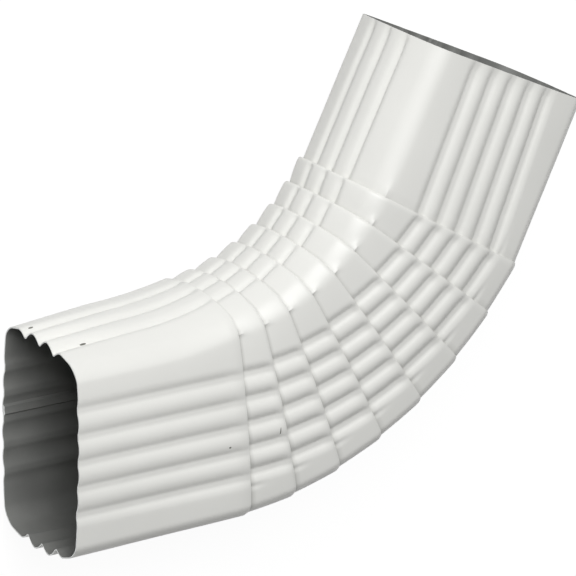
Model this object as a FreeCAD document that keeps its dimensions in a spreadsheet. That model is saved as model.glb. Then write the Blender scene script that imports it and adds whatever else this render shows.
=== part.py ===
# Downspout elbow: one length of prepainted aluminium sheet, fluted, closed with a lock seam and crimped
# into a sideways bend. It lies on its seamed wide side, with the bend in the horizontal plane.
import FreeCAD, Part
import math
import os

from FreeCAD import Placement, Rotation, Vector

doc = FreeCAD.newDocument("downspout_elbow")

# Driving sizes in millimetres and degrees. "Wide" and "narrow" are the two sides of the rectangular
# section; "throat" is the narrow side on the inside of the bend and "back" the one on the outside.
sizes = doc.addObject("Spreadsheet::Sheet", "Sizes")
VALUES = [
    ("sheet_gauge", 0.5, "thickness of the sheet"),
    ("outlet_wide", 80.7, "wide size through the middle of the small end"),
    ("outlet_offset", 1.5, "distance of the small end's middle from the centre line, to the back"),
    ("outlet_narrow", 49.5, "narrow size through the middle of the small end"),
    ("inlet_wide", 82.2, "wide size through the middle of the large end"),
    ("inlet_offset", 1.9, "distance of the large end's middle from the centre line, to the throat"),
    ("inlet_narrow", 50.5, "narrow size through the middle of the large end"),
    ("bend_narrow", 51.5, "narrow size through the middle of a crimp lip"),
    ("soft_corner", 10.0, "rounding of the upper throat corner and the lower back corner"),
    ("tight_corner", 7.0, "rounding of the other two corners, where the tube is pressed askew"),
    ("wide_crown", 400.0, "radius of the slight bulge of a wide side"),
    ("wide_lean", 14.0, "distance of that bulge's top from the middle, towards the tight corner"),
    ("narrow_crown", 60.0, "radius of the bulge of a narrow side"),
    ("throat_lean", 6.0, "distance of that bulge's top from the middle at the throat, to the tight corner"),
    ("leg_lean", 5.0, "further lean of the throat side halfway along the outlet leg"),
    ("wide_pitch", 9.8, "distance between grooves on a wide side of the outlet leg"),
    ("bend_pitch", 9.5, "the same distance round the bend"),
    ("inlet_pitch", 8.8, "the same distance at the large end"),
    ("wide_flat", 2.4, "width of the flat bottom of those grooves"),
    ("wide_depth", 1.05, "depth of the grooves on a wide side"),
    ("wide_rim_depth", 0.8, "depth of those grooves at the small end"),
    ("narrow_pitch", 9.0, "distance between grooves on a narrow side"),
    ("narrow_flat", 0.8, "width of the flat bottom of those grooves"),
    ("narrow_offset", 2.5, "distance of the narrow grooves' middle from the side's, to the tight corner"),
    ("narrow_depth", 2.0, "depth of the grooves on a narrow side"),
    ("narrow_rim_depth", 2.9, "depth of those grooves at the small end"),
    ("bend_angle", 65.2, "angle between the two straight legs"),
    ("bend_radius", 118.5, "radius of the bend at the middle of the section"),
    ("crimp_count", 8, "number of crimp lines round the bend"),
    ("crimp_step", 7.7, "angle between two crimp lines"),
    ("outlet_leg", 61.4, "straight length of the small end, from its rim to the start of the arc"),
    ("inlet_leg", 49.5, "straight length of the large end, from the end of the arc to its rim"),
    ("flare_length", 38.0, "length over which the outlet leg opens towards its first crimp"),
    ("flare_curve", 0.3, "share of that opening reached halfway along it"),
    ("throat_flare", 5.0, "how far each crimp lip stands out at the throat, past the outlet leg"),
    ("back_flare", 0.3, "how far each crimp lip stands out at the back, past the outlet leg"),
    ("tuck_throat", 2.2, "step from a lip down to the next gore at the throat"),
    ("tuck_side", 0.45, "how far the next gore lies below the bottom of a lip's grooves on the wide sides"),
    ("tuck_back", 1.0, "the same step on the back"),
    ("groove_offset", 0.9, "distance of the upper wide grooves' middle from the centre line, to the back"),
    ("groove_lead", 0.6, "shift of those grooves to the throat where a gore starts"),
    ("groove_lag", 1.0, "shift of those grooves to the back where a gore ends"),
    ("inlet_lead", 2.6, "shift of those grooves to the throat at the large end"),
    ("seam_rise", 1.0, "thickness that the lock seam adds inside the lower wide side"),
]
for row, (alias, value, note) in enumerate(VALUES, start=1):
    sizes.set("A%d" % row, alias)
    sizes.set("B%d" % row, str(value))
    sizes.set("C%d" % row, note)
    sizes.setAlias("B%d" % row, alias)
doc.recompute()


def polar(centre, radius, angle):
    return (centre[0] + radius * math.cos(angle), centre[1] + radius * math.sin(angle))


def rounding(first, second, radius):
    """Centre of a corner rounding that touches two neighbouring crowns from inside."""
    (ax, ay), (bx, by) = first[0], second[0]
    reach_a, reach_b = first[1] - radius, second[1] - radius
    span = math.hypot(bx - ax, by - ay)
    along = (reach_a ** 2 - reach_b ** 2 + span ** 2) / (2 * span)
    away = math.sqrt(reach_a ** 2 - along ** 2)
    ux, uy = (bx - ax) / span, (by - ay) / span
    return (ax + along * ux - away * uy, ay + along * uy + away * ux)


def outline_of(section):
    """Crowns and corners of a section, counter-clockwise from the throat.

    A crown is its centre, its radius, the angles where it starts and ends and the angle of the middle of its
    grooves. A corner is its centre and its radius."""
    throat, back, side, shift, lean = section[:5]
    wide, narrow = sizes.wide_crown, sizes.narrow_crown
    middle = (throat - back) / 2
    wide_rise = math.sqrt(wide ** 2 - sizes.wide_lean ** 2)
    throat_rise = math.sqrt(narrow ** 2 - lean ** 2)
    crowns = [
        ((throat - throat_rise, -lean), narrow),
        ((middle - sizes.wide_lean, side - wide_rise), wide),
        ((narrow - back, 0.0), narrow),
        ((middle + sizes.wide_lean, wide_rise - side), wide),
    ]
    upper_turn = math.pi / 2 - math.asin((shift - middle + sizes.wide_lean) / wide)
    lower_turn = 3 * math.pi / 2 - math.asin((shift + middle + sizes.wide_lean) / wide)
    throat_turn = math.asin((lean - sizes.narrow_offset) / narrow)
    back_turn = math.pi - math.asin(sizes.narrow_offset / narrow)
    grooves = [throat_turn, upper_turn, back_turn, lower_turn]
    radii = [sizes.soft_corner, sizes.tight_corner, sizes.soft_corner, sizes.tight_corner]
    corners = [(rounding(crowns[i], crowns[(i + 1) % 4], radii[i]), radii[i]) for i in range(4)]

    def heading(crown, near_corner, facing):
        centre, point = crown[0], near_corner[0]
        angle = math.atan2(point[1] - centre[1], point[0] - centre[0])
        return facing + math.remainder(angle - facing, 2 * math.pi)

    faces = []
    for i, (centre, radius) in enumerate(crowns):
        facing = i * math.pi / 2
        begins = heading(crowns[i], corners[i - 1], facing)
        ends = heading(crowns[i], corners[i], facing)
        faces.append((centre, radius, begins, ends, grooves[i]))
    return faces, corners


def fluted_face(centre, crown, begins, ends, grooved, pitch, flat, depth, count, inset, seam):
    """Arcs of one face, each as three points: round crests, with flat-bottomed grooves between them.

    The grooves lie either side of the angle grooved, and the outermost crests run out into plain lands."""
    half = (pitch - flat) / 2
    radius = (half ** 2 + depth ** 2) / (2 * depth)
    reach = crown - radius
    bottom = crown - depth - inset
    foot = math.acos((reach ** 2 + bottom ** 2 - (radius - inset) ** 2) / (2 * reach * bottom))
    step = pitch / crown
    first = grooved - count * step / 2
    last = first + count * step

    def land(start, end):
        return [polar(centre, crown - inset, angle) for angle in (start, (start + end) / 2, end)]

    def half_crest(angle, start, end):
        top = polar(centre, reach, angle)
        chord = ((start[0] + end[0]) / 2 - top[0], (start[1] + end[1]) / 2 - top[1])
        return [start, polar(top, radius - inset, math.atan2(chord[1], chord[0])), end]

    arcs = [land(begins, first)]
    for i in range(count):
        top = first + i * step
        before = polar(centre, bottom, top + foot)
        after = polar(centre, bottom, top + step - foot)
        if i == 0:
            arcs.append(half_crest(top, arcs[-1][2], before))
        else:
            arcs.append([arcs[-1][2], polar(centre, crown - inset, top), before])
        rise = seam if i == count // 2 else 0.0
        arcs.append([before, polar(centre, bottom - rise, top + step / 2), after])
    edge = land(last, ends)
    arcs.append(half_crest(last, arcs[-1][2], edge[0]))
    arcs.append(edge)
    return arcs


def section_wire(section, inset, counts):
    """Closed outline of the sheet's outer face, or of its inner face where inset is the gauge.

    It lies in the local YZ plane, with the throat on +Y and the upper wide side on +Z."""
    wide_pitch, wide_depth, narrow_depth, seam = section[5:]
    faces, corners = outline_of(section)
    arcs = []
    for number, (centre, crown, begins, ends, grooved) in enumerate(faces):
        wide = number % 2 == 1
        pitch = wide_pitch if wide else sizes.narrow_pitch
        flat = sizes.wide_flat if wide else sizes.narrow_flat
        depth = wide_depth if wide else narrow_depth
        rise = seam if number == 3 and inset else 0.0
        arcs += fluted_face(
            centre, crown, begins, ends, grooved, pitch, flat, depth, counts[wide], inset, rise)
        middle, radius = corners[number]
        turn = math.remainder(faces[(number + 1) % 4][2] - ends, 2 * math.pi)
        arcs.append([arcs[-1][2], polar(middle, radius - inset, ends + turn / 2),
                     polar(middle, radius - inset, ends + turn)])
    edges = []
    for number, (_, halfway, end) in enumerate(arcs):
        points = [Vector(0, *point) for point in (arcs[number - 1][2], halfway, end)]
        edges.append(Part.Arc(*points).toShape())
    return Part.Wire(edges)


def face_room(section, wide):
    """How many groove pitches fit on a section's wide or narrow sides, between the rounded corners."""
    pitch = section[5] if wide else sizes.narrow_pitch
    faces = outline_of(section)[0][int(wide)::2]
    return min(2 * crown * min(ends - grooved, grooved - begins) / pitch
               for centre, crown, begins, ends, grooved in faces)


# Sections along the elbow, each by its distances from the bend's centre line: to the throat, to the back
# and to either wide side, then the shift of the wide grooves to the throat, the lean of the throat side, the
# pitch of the wide grooves, the depths of the wide and narrow ones, and the rise of the seam, which the
# crimps press flat.
half_outlet = sizes.outlet_wide / 2
half_narrow = sizes.outlet_narrow / 2
lip_throat = half_outlet + sizes.throat_flare
lip_back = half_outlet + sizes.back_flare
lip_side = sizes.bend_narrow / 2
start_reach = (lip_throat - sizes.tuck_throat, lip_back - sizes.tuck_back,
               lip_side - sizes.wide_depth - sizes.tuck_side)
leg_grooves = (sizes.wide_pitch, sizes.wide_depth, sizes.narrow_depth, sizes.seam_rise)
lip_grooves = (sizes.wide_pitch, sizes.wide_depth, sizes.narrow_depth, 0.0)
bend_grooves = (sizes.bend_pitch, sizes.wide_depth, sizes.narrow_depth, 0.0)
rim_share = 1 - sizes.flare_curve
OUTLET_RIM = (half_outlet - sizes.outlet_offset, half_outlet + sizes.outlet_offset, half_narrow,
              -sizes.groove_offset, sizes.throat_lean,
              sizes.wide_pitch, sizes.wide_rim_depth, sizes.narrow_rim_depth, sizes.seam_rise)
OUTLET_LEG = (half_outlet, half_outlet + sizes.outlet_offset / 2, half_narrow,
              -sizes.groove_offset, sizes.throat_lean + sizes.leg_lean) + leg_grooves
OUTLET_FLARE = (half_outlet + sizes.flare_curve * sizes.throat_flare,
                half_outlet + sizes.flare_curve * sizes.back_flare,
                half_narrow + sizes.flare_curve * (lip_side - half_narrow),
                -sizes.groove_offset, sizes.throat_lean + rim_share * sizes.leg_lean) + leg_grooves
OUTLET_LIP = (lip_throat, lip_back, lip_side, -sizes.groove_offset, sizes.throat_lean) + lip_grooves
GORE_START = start_reach + (sizes.groove_lead - sizes.groove_offset, sizes.throat_lean) + bend_grooves
GORE_LIP = (lip_throat, lip_back, lip_side,
            -sizes.groove_lag - sizes.groove_offset, sizes.throat_lean) + bend_grooves
INLET_START = start_reach + (-sizes.groove_lag - sizes.groove_offset, sizes.throat_lean) + bend_grooves
INLET_RIM = (sizes.inlet_wide / 2 + sizes.inlet_offset, sizes.inlet_wide / 2 - sizes.inlet_offset,
             sizes.inlet_narrow / 2, sizes.inlet_lead - sizes.groove_offset, sizes.throat_lean,
             sizes.inlet_pitch, sizes.wide_depth, sizes.narrow_depth, sizes.seam_rise)

# As many whole grooves as fit on the narrowest section, between its rounded corners.
ALL_SECTIONS = (OUTLET_RIM, OUTLET_LEG, OUTLET_FLARE, OUTLET_LIP, GORE_START, GORE_LIP,
                INLET_START, INLET_RIM)
counts = tuple(min(int(face_room(section, wide)) for section in ALL_SECTIONS) for wide in (False, True))

# Positions along the elbow, as expressions on the sheet: an angle round the bend and a run along a leg.
FIRST_CRIMP = "((Sizes.bend_angle - Sizes.crimp_step * (Sizes.crimp_count - 1)) / 2)"
THROAT_RADIUS = "(Sizes.bend_radius - Sizes.outlet_wide / 2 - Sizes.throat_flare)"
WEB_ANGLE = "(180 / pi * Sizes.sheet_gauge / %s)" % THROAT_RADIUS


def add_section(name, section, inset, angle, run):
    """Places one outline square to the centre line, at an angle round the bend and a run past it."""
    outline = doc.addObject("Part::Feature", name)
    outline.Shape = section_wire(section, inset, counts)
    outline.Placement = Placement(Vector(), Rotation(Vector(0, 0, 1), 1))
    forward = "Sizes.bend_radius * sin(%s) + %s * cos(%s)" % (angle, run, angle)
    sideways = "Sizes.bend_radius * (1 - cos(%s)) + %s * sin(%s)" % (angle, run, angle)
    outline.setExpression("Placement.Rotation.Angle", angle)
    outline.setExpression("Placement.Base.x", forward)
    outline.setExpression("Placement.Base.y", sideways)
    return outline


def add_skin(name, inset):
    """One face of the sheet from rim to rim: the legs, the gores and the step at each crimp."""
    back_set = WEB_ANGLE if inset else "0"
    outlines = [
        add_section(name + "_outlet_rim", OUTLET_RIM, inset, "0", "(-Sizes.outlet_leg)"),
        add_section(name + "_outlet_leg", OUTLET_LEG, inset, "0",
                    "(Sizes.bend_radius * sin(%s) - Sizes.flare_length)" % FIRST_CRIMP),
        add_section(name + "_outlet_flare", OUTLET_FLARE, inset, "0",
                    "(Sizes.bend_radius * sin(%s) - Sizes.flare_length / 2)" % FIRST_CRIMP),
    ]
    crimps = int(round(sizes.crimp_count))
    for number in range(crimps):
        angle = "(%s + Sizes.crimp_step * %d - %s)" % (FIRST_CRIMP, number, back_set)
        lip = OUTLET_LIP if number == 0 else GORE_LIP
        start = INLET_START if number == crimps - 1 else GORE_START
        outlines.append(add_section("%s_lip_%d" % (name, number + 1), lip, inset, angle, "0"))
        outlines.append(add_section("%s_start_%d" % (name, number + 1), start, inset, angle, "0"))
    outlines.append(
        add_section(name + "_inlet_rim", INLET_RIM, inset, "Sizes.bend_angle", "Sizes.inlet_leg"))
    skin = doc.addObject("Part::Loft", name + "_skin")
    skin.Sections = outlines
    skin.Ruled = True
    skin.Solid = False
    return skin, outlines[0], outlines[-1]


outer, outer_outlet, outer_inlet = add_skin("outer", 0.0)
inner, inner_outlet, inner_inlet = add_skin("inner", sizes.sheet_gauge)
doc.recompute()

# The two skins and the cut edges at both rims close the sheet into one solid.
outlet_edge = Part.makeFace([outer_outlet.Shape, inner_outlet.Shape], "Part::FaceMakerBullseye")
inlet_edge = Part.makeFace([outer_inlet.Shape, inner_inlet.Shape], "Part::FaceMakerBullseye")
shell = Part.Shell(outer.Shape.Faces + inner.Shape.Faces + outlet_edge.Faces + inlet_edge.Faces)
shell.sewShape()
solid = Part.Solid(Part.Shell(shell.Faces))
if solid.Volume < 0:
    solid.reverse()

# It rests on its seamed wide side, with the reference point under the middle of its outline.
elbow = doc.addObject("Part::Feature", "elbow_body")
elbow.Label = "elbow_body"
elbow.Shape = solid
box = solid.optimalBoundingBox(False, False)
elbow.Placement = Placement(Vector(-box.Center.x, -box.Center.y, -box.ZMin), Rotation())
doc.recompute()

for item in doc.Objects:
    if "Invalid" in item.State or "Error" in item.State:
        raise RuntimeError("%s did not recompute" % item.Name)
if elbow.Shape.isNull() or not elbow.Shape.isValid() or not elbow.Shape.isClosed():
    raise RuntimeError("the sheet does not close into a valid solid")

os.makedirs("parts", exist_ok=True)
elbow.Shape.exportStep("parts/elbow_body.step")
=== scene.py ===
import math

import bpy
from mathutils import Matrix, Vector


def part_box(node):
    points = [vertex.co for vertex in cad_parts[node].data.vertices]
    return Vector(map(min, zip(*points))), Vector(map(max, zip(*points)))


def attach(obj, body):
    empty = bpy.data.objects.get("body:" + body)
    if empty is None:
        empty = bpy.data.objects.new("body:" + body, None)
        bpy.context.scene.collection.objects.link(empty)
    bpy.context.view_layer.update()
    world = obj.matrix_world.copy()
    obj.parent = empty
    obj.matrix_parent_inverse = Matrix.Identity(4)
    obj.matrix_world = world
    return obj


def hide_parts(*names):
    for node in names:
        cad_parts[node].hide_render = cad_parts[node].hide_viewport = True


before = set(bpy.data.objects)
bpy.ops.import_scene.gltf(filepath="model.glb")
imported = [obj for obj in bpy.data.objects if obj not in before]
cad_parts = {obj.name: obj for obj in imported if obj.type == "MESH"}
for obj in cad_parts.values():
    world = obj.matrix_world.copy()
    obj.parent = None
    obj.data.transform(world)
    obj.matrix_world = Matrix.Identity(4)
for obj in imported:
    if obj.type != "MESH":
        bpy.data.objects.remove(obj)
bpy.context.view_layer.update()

# The camera stands where the photo was taken from: above the throat of the bend, in front of the small end,
# looking down on the elbow with a long lens.
MM = 0.001
camera_aim = Vector((-44.3, 17.4, 78.8)) * MM
camera_look = Vector((0.5603, -0.3344, -0.7578)).normalized()
camera_up = Vector((0.1567, 0.9486, -0.2751))
camera_distance = 2841 * MM
camera_lens = 500.0
camera_sensor = 36.0
camera_far = 20.0

camera_data = bpy.data.cameras.new("photo_camera")
camera_data.lens = camera_lens
camera_data.sensor_width = camera_sensor
camera_data.clip_end = camera_far
camera = bpy.data.objects.new("photo_camera", camera_data)
camera_right = camera_look.cross(camera_up).normalized()
camera_turn = Matrix((camera_right, camera_right.cross(camera_look), -camera_look)).transposed()
camera.matrix_world = Matrix.Translation(camera_aim - camera_look * camera_distance) @ camera_turn.to_4x4()
bpy.context.scene.collection.objects.link(camera)
bpy.context.scene.camera = camera
bpy.context.scene.view_settings.view_transform = "Standard"

# The elbow's finish: coil-coated aluminium sheet. The outside is low-gloss white baked enamel, the inside a
# thin grey backer coat, and the sheared rims show the bare edge of the sheet with paint drawn over it. Each
# small mark in the enamel is given by its middle and its half sizes, in millimetres.
ENAMEL_WHITE = "#EAEAE6"
ENAMEL_SHADE = "#E0E0DC"
BACKER_GREY = "#878885"
BACKER_DARK = "#6C6D6B"
EDGE_PALE = "#F4F5F3"
EDGE_BARE = "#DCDEDE"
# Painted shade: the grey, and the share of it, that darken the enamel just past each crimp.
CRIMP_SHADE_GREY = "#8E8F8A"
MARK_DARK = "#66665F"
crimp_shade_share = 0.6
paint_marks = {
    "slit by the near throat corner": ((-99.5, -8.7, 31.7), (1.4, 0.6, 0.25)),
    "slit by the far throat corner": ((-108.5, -7.2, 11.8), (1.3, 0.6, 0.4)),
    "scratch on the first gore": ((-25.1, -49.3, 51.4), (0.22, 1.5, 0.8)),
    "speck by the first crimp": ((-47.2, -51.7, 51.3), (0.5, 0.35, 0.8)),
}
enamel_patch = 40 * MM
enamel_peel = 0.9 * MM
peel_height = 0.1 * MM
backer_patch = 14 * MM
backer_grain = 0.8 * MM
grain_height = 0.1 * MM
edge_patch = 2.5 * MM


def linear(colour):
    """Linear RGBA of an sRGB hex colour."""
    channels = [int(colour[i:i + 2], 16) / 255 for i in (1, 3, 5)]
    return [c / 12.92 if c <= 0.04045 else ((c + 0.055) / 1.055) ** 2.4 for c in channels] + [1.0]


def add(tree, kind, inputs=(), **settings):
    """Adds a node with its settings. Nodes, sockets or values feed its inputs, in order or by name."""
    node = tree.nodes.new(kind)
    for name, value in settings.items():
        setattr(node, name, value)
    for key, value in inputs.items() if isinstance(inputs, dict) else enumerate(inputs):
        shown = [socket for socket in node.inputs if socket.enabled]
        socket = shown[key] if isinstance(key, int) else next(other for other in shown if other.name == key)
        if isinstance(value, bpy.types.Node):
            value = next(output for output in value.outputs if output.enabled)
        if isinstance(value, bpy.types.NodeSocket):
            tree.links.new(value, socket)
        else:
            socket.default_value = value
    return node


def new_material(name):
    """An empty node material, with its tree."""
    material = bpy.data.materials.new(name)
    material.use_nodes = True
    material.node_tree.nodes.clear()
    return material, material.node_tree


# Baked enamel: a thick smooth coat, so it has soft broad highlights, a faint orange peel, and a slight change
# of tone where it was stretched and handled.
enamel, tree = new_material("white baked enamel on aluminium")
place = add(tree, "ShaderNodeTexCoord").outputs["Object"]
patches = add(tree, "ShaderNodeTexNoise", {"Vector": place, "Scale": 1 / enamel_patch, "Detail": 4.0})
tone = add(tree, "ShaderNodeMix", {"Factor": patches, "A": linear(ENAMEL_SHADE), "B": linear(ENAMEL_WHITE)},
           data_type="RGBA")
# Painted shade: just past each crimp the enamel is darkened towards grey, most at the lower gores.
crimp = add(tree, "ShaderNodeAttribute", attribute_name="crimp_painted_shade").outputs["Fac"]
crimp_shade_mix = add(tree, "ShaderNodeMath", [crimp, crimp_shade_share], operation="MULTIPLY")
crimp_shaded_tone = add(tree, "ShaderNodeMix", {"Factor": crimp_shade_mix, "A": tone, "B": linear(CRIMP_SHADE_GREY)},
                  data_type="RGBA")
marked_tone = crimp_shaded_tone
for mark_centre, mark_half in paint_marks.values():
    from_mark = add(tree, "ShaderNodeVectorMath", [place, Vector(mark_centre) * MM], operation="SUBTRACT")
    mark_shares = add(tree, "ShaderNodeVectorMath", [from_mark, Vector(mark_half) * MM], operation="DIVIDE")
    mark_reach = add(tree, "ShaderNodeVectorMath", [mark_shares], operation="LENGTH").outputs["Value"]
    on_mark = add(tree, "ShaderNodeMath", [mark_reach, 1.0], operation="LESS_THAN")
    marked_tone = add(tree, "ShaderNodeMix", {"Factor": on_mark, "A": marked_tone, "B": linear(MARK_DARK)},
                      data_type="RGBA")
sheen = add(tree, "ShaderNodeMapRange",
            {"Value": patches, "From Min": 0.3, "From Max": 0.7, "To Min": 0.34, "To Max": 0.42})
peel = add(tree, "ShaderNodeTexNoise", {"Vector": place, "Scale": 1 / enamel_peel, "Detail": 2.0})
bumps = add(tree, "ShaderNodeBump", {"Strength": 0.14, "Distance": peel_height, "Height": peel})
shader = add(tree, "ShaderNodeBsdfPrincipled",
             {"Base Color": marked_tone, "Roughness": sheen, "IOR": 1.5, "Normal": bumps})
add(tree, "ShaderNodeOutputMaterial", {"Surface": shader})

# Backer coat: a thin wash of grey paint, matt and a little uneven.
backer, tree = new_material("grey backer coat on aluminium")
place = add(tree, "ShaderNodeTexCoord").outputs["Object"]
patches = add(tree, "ShaderNodeTexNoise", {"Vector": place, "Scale": 1 / backer_patch, "Detail": 5.0})
tone = add(tree, "ShaderNodeMix", {"Factor": patches, "A": linear(BACKER_DARK), "B": linear(BACKER_GREY)},
           data_type="RGBA")
grain = add(tree, "ShaderNodeTexNoise", {"Vector": place, "Scale": 1 / backer_grain, "Detail": 2.0})
bumps = add(tree, "ShaderNodeBump", {"Strength": 0.1, "Distance": grain_height, "Height": grain})
shader = add(tree, "ShaderNodeBsdfPrincipled",
             {"Base Color": tone, "Roughness": 0.5, "IOR": 1.5, "Normal": bumps})
add(tree, "ShaderNodeOutputMaterial", {"Surface": shader})

# Sheared edge: bright metal with paint smeared over parts of it.
edge, tree = new_material("sheared edge of painted aluminium")
place = add(tree, "ShaderNodeTexCoord").outputs["Object"]
patches = add(tree, "ShaderNodeTexNoise", {"Vector": place, "Scale": 1 / edge_patch, "Detail": 3.0})
tone = add(tree, "ShaderNodeMix", {"Factor": patches, "A": linear(EDGE_BARE), "B": linear(EDGE_PALE)},
           data_type="RGBA")
shader = add(tree, "ShaderNodeBsdfPrincipled", {"Base Color": tone, "Roughness": 0.45, "Metallic": 0.2})
add(tree, "ShaderNodeOutputMaterial", {"Surface": shader})

# The elbow: one length of sheet, rolled with five flutes on each wide side and three on each narrow one,
# closed by a lock seam inside the lower wide side, and bent by crimping it at eight lines, so that each gore
# ends in a proud lip and the next one starts tucked in below it.
sheet_sizes = {
    "Sheet Gauge": 0.5 * MM,
    "Outlet Wide": 80.7 * MM,
    "Outlet Offset": 1.5 * MM,
    "Outlet Narrow": 49.5 * MM,
    "Inlet Wide": 82.2 * MM,
    "Inlet Offset": 1.9 * MM,
    "Inlet Narrow": 50.5 * MM,
    "Bend Narrow": 51.5 * MM,
    "Soft Corner": 5.5 * MM,
    "Tight Corner": 4.4 * MM,
    "Wide Crown": 400.0 * MM,
    "Wide Lean": 14.0 * MM,
    "Narrow Crown": 60.0 * MM,
    "Throat Lean": 6.0 * MM,
    "Leg Lean": 5.0 * MM,
    "Upper Lean": 0.5,
    "Wide Flutes": 5.0,
    "Wide Pitch": 9.8 * MM,
    "Bend Pitch": 9.5 * MM,
    "Inlet Pitch": 8.8 * MM,
    "Wide Flat": 2.4 * MM,
    "Wide Depth": 1.05 * MM,
    "Wide Rim Depth": 0.8 * MM,
    "Wide Round": 2.0,
    "Wide Rim Round": 2.0,
    "Bend Gain": 0.25,
    "Start Fade": 1.4 * MM,
    "Start Share": 0.9,
    "Lip Fade": 3.6 * MM,
    "Lip Share": 0.3,
    "Narrow Flutes": 3.0,
    "Narrow Pitch": 9.0 * MM,
    "Narrow Offset": 2.5 * MM,
    "Narrow Flat": 0.8 * MM,
    "Narrow Depth": 1.2 * MM,
    "Narrow Rim Depth": 2.9 * MM,
    "Narrow Round": 3.5,
    "Narrow Rim Round": 1.8,
    "Bend Angle": math.radians(65.2),
    "Bend Radius": 118.5 * MM,
    "Crimps": 8.0,
    "Crimp Step": math.radians(7.7),
    "Outlet Leg": 61.4 * MM,
    "Inlet Leg": 49.5 * MM,
    "Flare Length": 38.0 * MM,
    "Flare Power": 1.74,
    "Throat Flare": 5.0 * MM,
    "Back Flare": 0.3 * MM,
    "Tuck Throat": 1.7 * MM,
    "Tuck Side": 0.8 * MM,
    "Tuck Back": 0.5 * MM,
    "Tuck Fade": 1.5,
    "Groove Offset": 0.9 * MM,
    "Groove Lead": 0.6 * MM,
    "Groove Lag": 1.0 * MM,
    "Inlet Lead": 2.6 * MM,
    "Follow Fade": 18.0 * MM,
    "Lip Roll": 0.4 * MM,
    "Lip Length": 1.4 * MM,
    "Pucker Rise": 1.0 * MM,
    "Pucker Place": 34.5 * MM,
    "Dimple Depth": 0.45 * MM,
    "Dimple Place": -25.0 * MM,
    "Pinch Width": 1.7 * MM,
    "Pinch Length": 7.0 * MM,
    "Seam Rise": 1.0 * MM,
    "Seam Width": 3.4 * MM,
    "Seam Foot": 0.6,
    "Seam Top": 0.45,
    "Seam Offset": 3.4 * MM,
    # Painted shade along the crimps: how far past each crimp it reaches, and the share of it left at the last
    # one.
    "Crimp Shade Width": 1.6 * MM,
    "Crimp Shade Left": 0.3,
    "Dent Depth": 0.25 * MM,
    "Dent Size": 22.0 * MM,
    "Dent Seed": 3.0,
    "Rows In A Gore": 14.0,
    "Columns": 340.0,
}
corner_points = 24
noise_middle = (0.5, 0.5, 0.5)
merge_gap = 0.01 * MM
rim_mean = 0.5
rim_spread = 0.25
sharp_fold = math.radians(38)

tree = bpy.data.node_groups.new("crimped elbow", "GeometryNodeTree")
identifiers = {}
for name in sheet_sizes:
    socket = tree.interface.new_socket(name=name, in_out="INPUT", socket_type="NodeSocketFloat")
    identifiers[name] = socket.identifier
tree.interface.new_socket(name="Geometry", in_out="OUTPUT", socket_type="NodeSocketGeometry")
size = tree.nodes.new("NodeGroupInput").outputs
MATH = "ShaderNodeMath"
VECTOR = "ShaderNodeVectorMath"
MIX = "ShaderNodeMix"
RANGE = "ShaderNodeMapRange"

# Rows go along the outer face from the small end to the large one and back along the inner face; columns go
# round the section. Each gore has the same number of rows, closest together at its two ends.
spans = add(tree, MATH, [size["Crimps"], 1.0], operation="ADD")
skin_rows = add(tree, MATH, [spans, size["Rows In A Gore"]], operation="MULTIPLY")
lap_rows = add(tree, MATH, [skin_rows, 2.0], operation="MULTIPLY")
grid_rows = add(tree, MATH, [lap_rows, 1.0], operation="ADD")
grid_columns = add(tree, MATH, [size["Columns"], 1.0], operation="ADD")
grid = add(tree, "GeometryNodeMeshGrid",
           {"Size X": 1.0, "Size Y": 1.0, "Vertices X": grid_columns, "Vertices Y": grid_rows})
spot = add(tree, "ShaderNodeSeparateXYZ", [add(tree, "GeometryNodeInputPosition")])
around = add(tree, MATH, [spot.outputs["X"], 0.5], operation="ADD")
row_share = add(tree, MATH, [spot.outputs["Y"], 0.5], operation="ADD")
row_place = add(tree, MATH, [row_share, lap_rows], operation="MULTIPLY")
row = add(tree, MATH, [row_place], operation="ROUND")
lap_row = add(tree, MATH, [row, lap_rows], operation="MODULO")
turn_row = add(tree, MATH, [skin_rows, 0.5], operation="SUBTRACT")
from_turn = add(tree, MATH, [lap_row, turn_row], operation="SUBTRACT")
inside = add(tree, MATH, [from_turn, 0.0], operation="GREATER_THAN")
to_turn = add(tree, MATH, [from_turn], operation="ABSOLUTE")
along = add(tree, MATH, [turn_row, to_turn], operation="SUBTRACT")
gores_along = add(tree, MATH, [along, size["Rows In A Gore"]], operation="DIVIDE")
gore = add(tree, MATH, [gores_along], operation="FLOOR")
gore_row = add(tree, MATH, [along, size["Rows In A Gore"]], operation="MODULO")
last_gore_row = add(tree, MATH, [size["Rows In A Gore"], 1.0], operation="SUBTRACT")
run = add(tree, RANGE, {"Value": gore_row, "From Max": last_gore_row}, interpolation_type="SMOOTHSTEP")
started = add(tree, MATH, [gore, 0.5], operation="GREATER_THAN")
ended = add(tree, MATH, [gore, size["Crimps"], 0.25], operation="COMPARE")
bent = add(tree, MATH, [started, ended], operation="SUBTRACT")

# The centre line: a straight leg, gores as chords between the crimp planes, and the other straight leg.
gaps = add(tree, MATH, [size["Crimps"], 1.0], operation="SUBTRACT")
gores_angle = add(tree, MATH, [size["Crimp Step"], gaps], operation="MULTIPLY")
spare_angle = add(tree, MATH, [size["Bend Angle"], gores_angle], operation="SUBTRACT")
first_angle = add(tree, MATH, [spare_angle, 0.5], operation="MULTIPLY")
lip_angle = add(tree, MATH, [gore, size["Crimp Step"], first_angle], operation="MULTIPLY_ADD")
tuck_angle = add(tree, MATH, [lip_angle, size["Crimp Step"]], operation="SUBTRACT")
start_angle = add(tree, MATH, [tuck_angle, 0.0], operation="MAXIMUM")
end_angle = add(tree, MATH, [lip_angle, size["Bend Angle"]], operation="MINIMUM")
unstarted = add(tree, MATH, [started, 1.0], operation="SUBTRACT")
leg_before = add(tree, MATH, [unstarted, size["Outlet Leg"]], operation="MULTIPLY")
leg_after = add(tree, MATH, [ended, size["Inlet Leg"]], operation="MULTIPLY")
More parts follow.
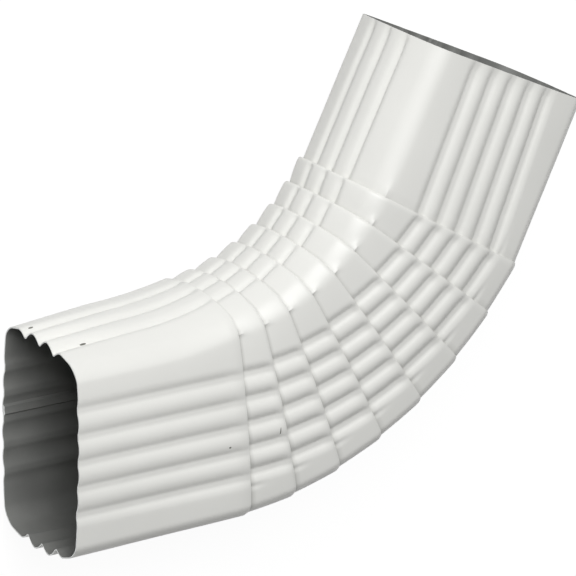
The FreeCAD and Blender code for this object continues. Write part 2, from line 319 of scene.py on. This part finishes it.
bend_axis = add(tree, "ShaderNodeCombineXYZ", {"Y": size["Bend Radius"]})
start_leg = add(tree, "ShaderNodeCombineXYZ", {"X": leg_before})
end_leg = add(tree, "ShaderNodeCombineXYZ", {"X": leg_after})
start_point = add(tree, "ShaderNodeVectorRotate",
                  {"Vector": start_leg, "Center": bend_axis, "Angle": start_angle}, rotation_type="Z_AXIS")
end_point = add(tree, "ShaderNodeVectorRotate",
                {"Vector": end_leg, "Center": bend_axis, "Angle": end_angle}, rotation_type="Z_AXIS")
start_xyz = add(tree, "ShaderNodeSeparateXYZ", [start_point])
end_xyz = add(tree, "ShaderNodeSeparateXYZ", [end_point])
centre_x = add(tree, MIX, {"Factor": run, "A": start_xyz.outputs["X"], "B": end_xyz.outputs["X"]})
first_sine = add(tree, MATH, [first_angle], operation="SINE")
flare_end = add(tree, MATH, [first_sine, size["Bend Radius"]], operation="MULTIPLY")
flare_start = add(tree, MATH, [flare_end, size["Flare Length"]], operation="SUBTRACT")
flare_share = add(tree, RANGE, {"Value": centre_x, "From Min": flare_start, "From Max": flare_end})
flare = add(tree, MATH, [flare_share, size["Flare Power"]], operation="POWER")
ease = add(tree, MIX, {"Factor": started, "A": flare, "B": run})
centre_y = add(tree, MIX, {"Factor": ease, "A": start_xyz.outputs["Y"], "B": end_xyz.outputs["Y"]})
turn = add(tree, MIX, {"Factor": ease, "A": start_angle, "B": end_angle})

# How far the section reaches to the throat, to the back and to each wide side: out to the lip at a gore's
# end, where its edge is rolled in, in by the tuck at its start, and to the large end's own size along the
# last leg.
half_wide = add(tree, MATH, [size["Outlet Wide"], 0.5], operation="MULTIPLY")
half_narrow = add(tree, MATH, [size["Outlet Narrow"], 0.5], operation="MULTIPLY")
half_inlet = add(tree, MATH, [size["Inlet Wide"], 0.5], operation="MULTIPLY")
inlet_throat = add(tree, MATH, [half_inlet, size["Inlet Offset"]], operation="ADD")
inlet_back = add(tree, MATH, [half_inlet, size["Inlet Offset"]], operation="SUBTRACT")
inlet_side = add(tree, MATH, [size["Inlet Narrow"], 0.5], operation="MULTIPLY")
lip_side = add(tree, MATH, [size["Bend Narrow"], 0.5], operation="MULTIPLY")
side_flare = add(tree, MATH, [lip_side, half_narrow], operation="SUBTRACT")
rim_x = add(tree, MATH, [size["Outlet Leg"], -1.0], operation="MULTIPLY")
from_rim = add(tree, RANGE, {"Value": centre_x, "From Min": rim_x, "From Max": flare_start})
to_crimp = add(tree, RANGE, {"Value": centre_x, "From Min": flare_end, "From Max": rim_x})
near_rim = add(tree, MATH, [1.0, from_rim], operation="SUBTRACT")
throat_set = add(tree, MATH, [near_rim, size["Outlet Offset"]], operation="MULTIPLY")
back_set = add(tree, MATH, [to_crimp, size["Outlet Offset"]], operation="MULTIPLY")
rest_throat = add(tree, MATH, [half_wide, throat_set], operation="SUBTRACT")
rest_back = add(tree, MATH, [half_wide, back_set], operation="ADD")
arrived = add(tree, MATH, [ended, run], operation="MULTIPLY")
to_go = add(tree, MATH, [1.0, run], operation="SUBTRACT")
tuck_fade = add(tree, MIX, {"Factor": ended, "A": size["Tuck Fade"], "B": 1.0})
tuck_left = add(tree, MATH, [to_go, tuck_fade], operation="POWER")
tucked = add(tree, MATH, [started, tuck_left], operation="MULTIPLY")
span = add(tree, VECTOR, [start_point, end_point], operation="DISTANCE").outputs["Value"]
from_start = add(tree, MATH, [span, run], operation="MULTIPLY")
from_lip = add(tree, MATH, [span, to_go], operation="MULTIPLY")
near_lip = add(tree, RANGE, {"Value": from_lip, "From Min": size["Lip Length"], "From Max": 0.0})
curl = add(tree, MATH, [near_lip, near_lip], operation="MULTIPLY")
unended = add(tree, MATH, [1.0, ended], operation="SUBTRACT")
lip_curl = add(tree, MATH, [curl, unended], operation="MULTIPLY")
rolled = add(tree, MATH, [lip_curl, size["Lip Roll"]], operation="MULTIPLY")
reach = {}
for side, rest, flared, inlet, tuck in (
        ("throat", rest_throat, size["Throat Flare"], inlet_throat, size["Tuck Throat"]),
        ("back", rest_back, size["Back Flare"], inlet_back, size["Tuck Back"]),
        ("side", half_narrow, side_flare, inlet_side, size["Tuck Side"])):
    lip = add(tree, MATH, [flare, flared, rest], operation="MULTIPLY_ADD")
    untucked = add(tree, MIX, {"Factor": arrived, "A": lip, "B": inlet})
    step = add(tree, MATH, [tucked, tuck, rolled], operation="MULTIPLY_ADD")
    reach[side] = add(tree, MATH, [untucked, step], operation="SUBTRACT")

# The plain section: a rectangle with two soft and two tight corners, whose sides bulge a little and lean, the
# throat side most of all along the small end's leg.
corner_index = add(tree, MATH, [add(tree, "GeometryNodeInputIndex"), 2.0], operation="MODULO")
corner_radius = add(tree, MIX, {"Factor": corner_index, "A": size["Soft Corner"], "B": size["Tight Corner"]})
rectangle = add(tree, "GeometryNodeCurvePrimitiveQuadrilateral",
                {"Width": size["Outlet Wide"], "Height": size["Outlet Narrow"]})
outline = add(tree, "GeometryNodeFilletCurve",
              {"Curve": rectangle, "Count": corner_points, "Radius": corner_radius}, mode="POLY")

# The wide grooves' place: they slant across each gore, so that they jog at every crimp, and close up a little
# towards the large end. The columns slide round the outline to follow them.
offset_back = add(tree, MATH, [size["Groove Offset"], -1.0], operation="MULTIPLY")
leading = add(tree, MATH, [bent, size["Groove Lead"], offset_back], operation="MULTIPLY_ADD")
lagging = add(tree, MATH, [ended, size["Groove Lag"]], operation="MULTIPLY")
shift_start = add(tree, MATH, [leading, lagging], operation="SUBTRACT")
inlet_leading = add(tree, MATH, [ended, size["Inlet Lead"], offset_back], operation="MULTIPLY_ADD")
bend_lagging = add(tree, MATH, [bent, size["Groove Lag"]], operation="MULTIPLY")
shift_end = add(tree, MATH, [inlet_leading, bend_lagging], operation="SUBTRACT")
shift = add(tree, MIX, {"Factor": run, "A": shift_start, "B": shift_end})
pitch_start = add(tree, MIX, {"Factor": started, "A": size["Wide Pitch"], "B": size["Bend Pitch"]})
wide_pitch = add(tree, MIX, {"Factor": arrived, "A": pitch_start, "B": size["Inlet Pitch"]})
even_point = add(tree, "GeometryNodeSampleCurve", {"Curves": outline, "Factor": around}, mode="FACTOR")
even = add(tree, "ShaderNodeSeparateXYZ", [even_point.outputs["Position"]])
even_way = add(tree, "ShaderNodeSeparateXYZ", [even_point.outputs["Tangent"]])
face_sign = add(tree, MATH, [even.outputs["Y"]], operation="SIGN")
face_shift = add(tree, MATH, [shift, face_sign], operation="MULTIPLY")
even_throatward = add(tree, MATH, [even.outputs["X"], 0.0], operation="GREATER_THAN")
even_reach = add(tree, MIX, {"Factor": even_throatward, "A": reach["back"], "B": reach["throat"]})
even_ratio = add(tree, MATH, [even_reach, half_wide], operation="DIVIDE")
narrow_square = add(tree, MATH, [half_narrow, half_narrow], operation="MULTIPLY")
narrow_span = add(tree, MATH, [size["Narrow Crown"], size["Outlet Wide"]], operation="MULTIPLY")
side_fall = add(tree, MATH, [narrow_square, narrow_span], operation="DIVIDE")
side_kept = add(tree, MATH, [1.0, side_fall], operation="SUBTRACT")
even_across = add(tree, MATH, [even.outputs["X"], side_kept], operation="MULTIPLY")
pitch_ratio = add(tree, MATH, [wide_pitch, size["Wide Pitch"]], operation="DIVIDE")
followed = add(tree, MATH, [even_across, pitch_ratio, face_shift], operation="MULTIPLY_ADD")
spread = add(tree, MATH, [even_ratio, side_kept], operation="MULTIPLY")
followed_x = add(tree, MATH, [followed, spread], operation="DIVIDE")
slide_x = add(tree, MATH, [followed_x, even.outputs["X"]], operation="SUBTRACT")
fluted_width = add(tree, MATH, [size["Wide Flutes"], size["Wide Pitch"]], operation="MULTIPLY")
fluted_half = add(tree, MATH, [fluted_width, 0.5], operation="MULTIPLY")
fluted_edge = add(tree, MATH, [fluted_half, side_kept], operation="DIVIDE")
follow_end = add(tree, MATH, [fluted_edge, size["Follow Fade"]], operation="ADD")
from_axis = add(tree, MATH, [even.outputs["X"]], operation="ABSOLUTE")
rise = add(tree, MATH, [even.outputs["Y"]], operation="ABSOLUTE")
corner_drop = add(tree, MATH, [half_narrow, rise], operation="SUBTRACT")
off_face = add(tree, MATH, [from_axis, corner_drop], operation="ADD")
follow = add(tree, RANGE, {"Value": off_face, "From Min": follow_end, "From Max": fluted_edge},
             interpolation_type="SMOOTHSTEP")
slide = add(tree, MATH, [slide_x, follow], operation="MULTIPLY")
slide_way = add(tree, MATH, [even_way.outputs["X"]], operation="SIGN")
outline_length = add(tree, "GeometryNodeCurveLength", [outline])
even_length = add(tree, MATH, [around, outline_length], operation="MULTIPLY")
slid_length = add(tree, MATH, [slide, slide_way, even_length], operation="MULTIPLY_ADD")
sample_length = add(tree, MATH, [slid_length, outline_length], operation="FLOORED_MODULO")
outline_point = add(tree, "GeometryNodeSampleCurve", {"Curves": outline, "Length": sample_length},
                    mode="LENGTH")
flat = add(tree, "ShaderNodeSeparateXYZ", [outline_point.outputs["Position"]])
outward = add(tree, "ShaderNodeSeparateXYZ", [outline_point.outputs["Normal"]])

# The section at this place along the elbow, bulged, leaning and sized.
bulged = {}
for way, other, crown, width in (("X", "Y", size["Narrow Crown"], size["Outlet Wide"]),
                                 ("Y", "X", size["Wide Crown"], size["Outlet Narrow"])):
    square = add(tree, MATH, [flat.outputs[other], flat.outputs[other]], operation="MULTIPLY")
    crown_span = add(tree, MATH, [crown, width], operation="MULTIPLY")
    fall = add(tree, MATH, [square, crown_span], operation="DIVIDE")
    kept = add(tree, MATH, [1.0, fall], operation="SUBTRACT")
    bulged[way] = add(tree, MATH, [flat.outputs[way], kept], operation="MULTIPLY")
throatward = add(tree, MATH, [flat.outputs["X"], 0.0], operation="GREATER_THAN")
reach_across = add(tree, MIX, {"Factor": throatward, "A": reach["back"], "B": reach["throat"]})
across_ratio = add(tree, MATH, [reach_across, half_wide], operation="DIVIDE")
height_ratio = add(tree, MATH, [reach["side"], half_narrow], operation="DIVIDE")
across_plain = add(tree, MATH, [bulged["X"], across_ratio], operation="MULTIPLY")
height_plain = add(tree, MATH, [bulged["Y"], height_ratio], operation="MULTIPLY")
wide_slope = add(tree, MATH, [size["Wide Lean"], size["Wide Crown"]], operation="DIVIDE")
off_middle = add(tree, MATH, [reach["back"], reach["throat"]], operation="SUBTRACT")
from_middle = add(tree, MATH, [off_middle, 0.5, across_plain], operation="MULTIPLY_ADD")
wide_fall = add(tree, MATH, [from_middle, wide_slope], operation="MULTIPLY")
height = add(tree, MATH, [height_plain, wide_fall], operation="SUBTRACT")
unflared = add(tree, MATH, [1.0, flare], operation="SUBTRACT")
leg_share = add(tree, MATH, [from_rim, unflared], operation="MULTIPLY")
throat_lean = add(tree, MATH, [leg_share, size["Leg Lean"], size["Throat Lean"]], operation="MULTIPLY_ADD")
throat_slope = add(tree, MATH, [throat_lean, size["Narrow Crown"]], operation="DIVIDE")
throat_share = add(tree, RANGE, {"Value": flat.outputs["X"], "From Min": fluted_edge, "From Max": half_wide},
                   interpolation_type="SMOOTHSTEP")
sloped_share = add(tree, MATH, [throat_share, throat_slope], operation="MULTIPLY")
above = add(tree, MATH, [flat.outputs["Y"], 0.0], operation="GREATER_THAN")
lean_share = add(tree, MIX, {"Factor": above, "A": 1.0, "B": size["Upper Lean"]})
lean_height = add(tree, MATH, [lean_share, height_plain], operation="MULTIPLY")
throat_fall = add(tree, MATH, [sloped_share, lean_height], operation="MULTIPLY")
across = add(tree, MATH, [across_plain, throat_fall], operation="SUBTRACT")

# The flutes: round crests level with the plain section, and flat-bottomed grooves between them. They fade
# towards each lip and the large end's rim, and a little where a gore starts, but those of the narrow sides
# are deepest at the small end's rim.
from_grooves = add(tree, MATH, [across, face_shift], operation="SUBTRACT")
across_sign = add(tree, MATH, [flat.outputs["X"]], operation="SIGN")
height_sign = add(tree, MATH, [flat.outputs["Y"]], operation="SIGN")
up_grooves = add(tree, MATH, [across_sign, size["Narrow Offset"], height], operation="MULTIPLY_ADD")
kept_start = add(tree, MATH, [from_start, leg_before], operation="SUBTRACT")
lip_share = add(tree, RANGE, {"Value": from_lip, "From Max": size["Lip Fade"], "To Min": size["Lip Share"]},
                interpolation_type="SMOOTHSTEP")
share = {}
for face, start in (("Wide", from_start), ("Narrow", kept_start)):
    start_share = add(tree, RANGE,
                      {"Value": start, "From Max": size["Start Fade"], "To Min": size["Start Share"]},
                      interpolation_type="SMOOTHSTEP")
    share[face] = add(tree, MATH, [start_share, lip_share], operation="MULTIPLY")
bend_gain = add(tree, MATH, [started, size["Bend Gain"], 1.0], operation="MULTIPLY_ADD")
share["Wide"] = add(tree, MATH, [share["Wide"], bend_gain], operation="MULTIPLY")
dip = {}
for face, groove_place, pitch in (("Wide", from_grooves, wide_pitch),
                                  ("Narrow", up_grooves, size["Narrow Pitch"])):
    flutes = size[face + " Flutes"]
    full_depth = add(tree, MIX,
                     {"Factor": from_rim, "A": size[face + " Rim Depth"], "B": size[face + " Depth"]})
    depth = add(tree, MATH, [full_depth, share[face]], operation="MULTIPLY")
    roundness = add(tree, MIX,
                    {"Factor": from_rim, "A": size[face + " Rim Round"], "B": size[face + " Round"]})
    pitches = add(tree, MATH, [groove_place, pitch], operation="DIVIDE")
    from_first = add(tree, MATH, [flutes, 0.5, pitches], operation="MULTIPLY_ADD")
    limited = add(tree, "ShaderNodeClamp", {"Value": from_first, "Min": 0.0, "Max": flutes})
    off_crest = add(tree, MATH, [limited, 0.5], operation="PINGPONG")
    from_crest = add(tree, MATH, [off_crest, pitch], operation="MULTIPLY")
    crest_width = add(tree, MATH, [pitch, size[face + " Flat"]], operation="SUBTRACT")
    crest_half = add(tree, MATH, [crest_width, 0.5], operation="MULTIPLY")
    crest_share = add(tree, MATH, [from_crest, crest_half], operation="DIVIDE")
    on_crest = add(tree, MATH, [crest_share, 1.0], operation="MINIMUM")
    fall = add(tree, MATH, [on_crest, roundness], operation="POWER")
    dip[face] = add(tree, MATH, [fall, depth], operation="MULTIPLY")
across_dip = add(tree, MATH, [across_sign, dip["Narrow"]], operation="MULTIPLY")
height_dip = add(tree, MATH, [height_sign, dip["Wide"]], operation="MULTIPLY")
across_fluted = add(tree, MATH, [across, across_dip], operation="SUBTRACT")
height_fluted = add(tree, MATH, [height, height_dip], operation="SUBTRACT")

# Where a gore starts, the crimping tool pinches the upper side of the sheet: it puckers up by the throat
# corner and is dimpled in behind the flutes.
pinched = add(tree, MATH, [above, started], operation="MULTIPLY")
near_start = add(tree, RANGE, {"Value": from_start, "From Min": size["Pinch Length"], "From Max": 0.0},
                 interpolation_type="SMOOTHSTEP")
gore_pinch = add(tree, MATH, [near_start, pinched], operation="MULTIPLY")
pinch = {}
for fold, fold_size in (("Pucker", size["Pucker Rise"]), ("Dimple", size["Dimple Depth"])):
    apart = add(tree, MATH, [across, size[fold + " Place"]], operation="SUBTRACT")
    beside = add(tree, MATH, [apart], operation="ABSOLUTE")
    near = add(tree, RANGE, {"Value": beside, "From Min": size["Pinch Width"], "From Max": 0.0},
               interpolation_type="SMOOTHSTEP")
    pinch[fold] = add(tree, MATH, [near, fold_size], operation="MULTIPLY")
pressed = add(tree, MATH, [pinch["Dimple"], pinch["Pucker"]], operation="SUBTRACT")
pressed_in = add(tree, MATH, [pressed, gore_pinch], operation="MULTIPLY")

# The inner face lies one gauge inside. The lock seam stands up from it on the lower wide side of both legs.
gauge_inset = add(tree, MATH, [inside, size["Sheet Gauge"]], operation="MULTIPLY")
inset = add(tree, MATH, [gauge_inset, pressed_in], operation="ADD")
across_inset = add(tree, MATH, [outward.outputs["X"], inset], operation="MULTIPLY")
height_inset = add(tree, MATH, [outward.outputs["Y"], inset], operation="MULTIPLY")
across_sheet = add(tree, MATH, [across_fluted, across_inset], operation="SUBTRACT")
height_sheet = add(tree, MATH, [height_fluted, height_inset], operation="SUBTRACT")
seam_foot = add(tree, MATH, [size["Seam Width"], size["Seam Foot"]], operation="MULTIPLY")
seam_top = add(tree, MATH, [size["Seam Width"], size["Seam Top"]], operation="MULTIPLY")
seam_gap = add(tree, MATH, [from_grooves, size["Seam Offset"]], operation="SUBTRACT")
from_seam = add(tree, MATH, [seam_gap], operation="ABSOLUTE")
on_seam = add(tree, RANGE, {"Value": from_seam, "From Min": seam_foot, "From Max": seam_top},
              interpolation_type="SMOOTHSTEP")
below = add(tree, MATH, [height, 0.0], operation="LESS_THAN")
seam_run = add(tree, MATH, [unflared, arrived], operation="ADD")
inner_below = add(tree, MATH, [inside, below], operation="MULTIPLY")
seam_share = add(tree, MATH, [on_seam, seam_run], operation="MULTIPLY")
seam_height = add(tree, MATH, [seam_share, size["Seam Rise"]], operation="MULTIPLY")
height_seamed = add(tree, MATH, [inner_below, seam_height, height_sheet], operation="MULTIPLY_ADD")

# The section set square to the centre line. The inner face's steps lie one gauge behind the outer ones.
last_row = add(tree, MATH, [skin_rows, 1.0], operation="SUBTRACT")
rows_to_rim = add(tree, MATH, [last_row, along], operation="SUBTRACT")
nearest_rim = add(tree, MATH, [along, rows_to_rim], operation="MINIMUM")
off_rim = add(tree, MATH, [nearest_rim, 0.5], operation="GREATER_THAN")
gauge_back = add(tree, MATH, [gauge_inset, off_rim], operation="MULTIPLY")
set_back = add(tree, MATH, [gauge_back, -1.0], operation="MULTIPLY")
section_point = add(tree, "ShaderNodeCombineXYZ", {"X": set_back, "Y": across_sheet, "Z": height_seamed})
turned_point = add(tree, "ShaderNodeVectorRotate", {"Vector": section_point, "Angle": turn},
                   rotation_type="Z_AXIS")
centre = add(tree, "ShaderNodeCombineXYZ", {"X": centre_x, "Y": centre_y})
sheet_point = add(tree, VECTOR, [centre, turned_point], operation="ADD")

# Slight dents from rolling and handling.
dent_scale = add(tree, MATH, [1.0, size["Dent Size"]], operation="DIVIDE")
dents = add(tree, "ShaderNodeTexNoise",
            {"Vector": sheet_point, "W": size["Dent Seed"], "Scale": dent_scale, "Detail": 1.0},
            noise_dimensions="4D")
dent_way = add(tree, VECTOR, [dents.outputs["Color"], noise_middle], operation="SUBTRACT")
dent = add(tree, VECTOR, {"Vector": dent_way, "Scale": size["Dent Depth"]}, operation="SCALE")
worn_point = add(tree, VECTOR, [sheet_point, dent], operation="ADD")

# The finished sheet: the enamel reads the painted shade along its crimps, and each face takes its coat by the
# side that it is on. A face of the rims lies half on each side.
with_sides = add(tree, "GeometryNodeStoreNamedAttribute",
                 {"Geometry": grid, "Name": "inner_face", "Value": inside},
                 data_type="FLOAT", domain="POINT")
# Painted shade: darkest just past each crimp and fading over a short width, weaker gore by gore towards the
# large end.
near_crimp = add(tree, RANGE, {"Value": from_start, "From Min": size["Crimp Shade Width"], "From Max": 0.0})
crimp_shade_fade = add(tree, RANGE, {"Value": gore, "From Min": 1.0, "From Max": size["Crimps"],
                               "To Min": 1.0, "To Max": size["Crimp Shade Left"]})
crimp_painted_shade = add(tree, MATH, [near_crimp, crimp_shade_fade], operation="MULTIPLY")
painted_crimp_shade = add(tree, MATH, [crimp_painted_shade, started], operation="MULTIPLY")
with_crimp_shade = add(tree, "GeometryNodeStoreNamedAttribute",
                 {"Geometry": with_sides, "Name": "crimp_painted_shade", "Value": painted_crimp_shade},
                 data_type="FLOAT", domain="POINT")
shaped = add(tree, "GeometryNodeSetPosition", {"Geometry": with_crimp_shade, "Position": worn_point})
closed = add(tree, "GeometryNodeMergeByDistance", {"Geometry": shaped, "Distance": merge_gap})
realized = add(tree, "GeometryNodeRealizeInstances", [closed])
inner_face = add(tree, "GeometryNodeInputNamedAttribute", {"Name": "inner_face"}, data_type="FLOAT")
on_inner = add(tree, MATH, [inner_face, rim_mean + rim_spread], operation="GREATER_THAN")
on_edge = add(tree, MATH, [inner_face, rim_mean, rim_spread], operation="COMPARE")
outside_painted = add(tree, "GeometryNodeSetMaterial", {"Geometry": realized, "Material": enamel})
inside_painted = add(tree, "GeometryNodeSetMaterial",
                     {"Geometry": outside_painted, "Selection": on_inner, "Material": backer})
painted = add(tree, "GeometryNodeSetMaterial",
              {"Geometry": inside_painted, "Selection": on_edge, "Material": edge})
add(tree, "NodeGroupOutput", {"Geometry": painted})

blank = bpy.data.objects.new("elbow_blank", bpy.data.meshes.new("elbow_blank"))
bpy.context.scene.collection.objects.link(blank)
crimping = blank.modifiers.new("crimped elbow", "NODES")
crimping.node_group = tree
for name, value in sheet_sizes.items():
    crimping[identifiers[name]] = value
evaluated = blank.evaluated_get(bpy.context.evaluated_depsgraph_get())
elbow_mesh = bpy.data.meshes.new_from_object(evaluated)
bpy.data.objects.remove(blank)

# It lies where the solid does: its box over the same middle, and its lowest point on the ground.
low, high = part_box("elbow_body")
points = [vertex.co for vertex in elbow_mesh.vertices]
mesh_low = Vector([min(point[axis] for point in points) for axis in range(3)])
mesh_high = Vector([max(point[axis] for point in points) for axis in range(3)])
move = (low + high - mesh_low - mesh_high) / 2
move.z = low.z - mesh_low.z
elbow_mesh.transform(Matrix.Translation(move))
elbow_mesh.shade_smooth()
elbow_mesh.set_sharp_from_angle(angle=sharp_fold)
elbow = bpy.data.objects.new("elbow_sheet", elbow_mesh)
bpy.context.scene.collection.objects.link(elbow)
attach(elbow, "root")
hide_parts("elbow_body")

# The floor is a plain pale sheet that the camera sees as white, with the elbow's soft shadow on it.
FLOOR_PALE = "#BDBDBD"
floor_half = 3.0
floor_gap = 0.05 * MM
floor_glow = 0.78
glow_strength = 1.2
corners = [(-floor_half, -floor_half), (floor_half, -floor_half),
           (floor_half, floor_half), (-floor_half, floor_half)]
floor_mesh = bpy.data.meshes.new("floor")
floor_mesh.from_pydata([(x, y, -floor_gap) for x, y in corners], [], [(0, 1, 2, 3)])
floor_material, tree = new_material("pale studio floor")
seen = add(tree, "ShaderNodeLightPath")
glossy_seen = add(tree, MATH, [seen.outputs["Is Camera Ray"], seen.outputs["Is Glossy Ray"]],
                  operation="MAXIMUM")
any_seen = add(tree, MATH, [glossy_seen, seen.outputs["Is Transmission Ray"]], operation="MAXIMUM")
glow_share = add(tree, MATH, [any_seen, floor_glow], operation="MULTIPLY")
matt = add(tree, "ShaderNodeBsdfDiffuse", {"Color": linear(FLOOR_PALE)})
glow = add(tree, "ShaderNodeEmission", {"Strength": glow_strength})
mixed = add(tree, "ShaderNodeMixShader", [glow_share, matt, glow])
add(tree, "ShaderNodeOutputMaterial", {"Surface": mixed})
floor_mesh.materials.append(floor_material)
floor = bpy.data.objects.new("floor", floor_mesh)
bpy.context.scene.collection.objects.link(floor)

# A large soft lamp over the throat side of the bend, and an even, weaker light from all round.
lamp_way = Vector((-0.31, 0.63, 0.71)).normalized()
lamp_distance = 1.6
lamp_size = 1.2
lamp_power = 26.0
lamp_data = bpy.data.lights.new("key_lamp", "AREA")
lamp_data.energy = lamp_power
lamp_data.size = lamp_size
lamp = bpy.data.objects.new("key_lamp", lamp_data)
lamp_place = Matrix.Translation(lamp_way * lamp_distance)
lamp.matrix_world = lamp_place @ lamp_way.to_track_quat("Z", "Y").to_matrix().to_4x4()
bpy.context.scene.collection.objects.link(lamp)

room_strength = 0.2
world = bpy.data.worlds.new("studio")
world.use_nodes = True
tree = world.node_tree
tree.nodes.clear()
seen = add(tree, "ShaderNodeLightPath")
strength = add(tree, MIX, {"Factor": seen.outputs["Is Camera Ray"], "A": room_strength, "B": 1.0})
room = add(tree, "ShaderNodeBackground", {"Color": (1.0, 1.0, 1.0, 1.0), "Strength": strength})
add(tree, "ShaderNodeOutputWorld", {"Surface": room})
bpy.context.scene.world = world
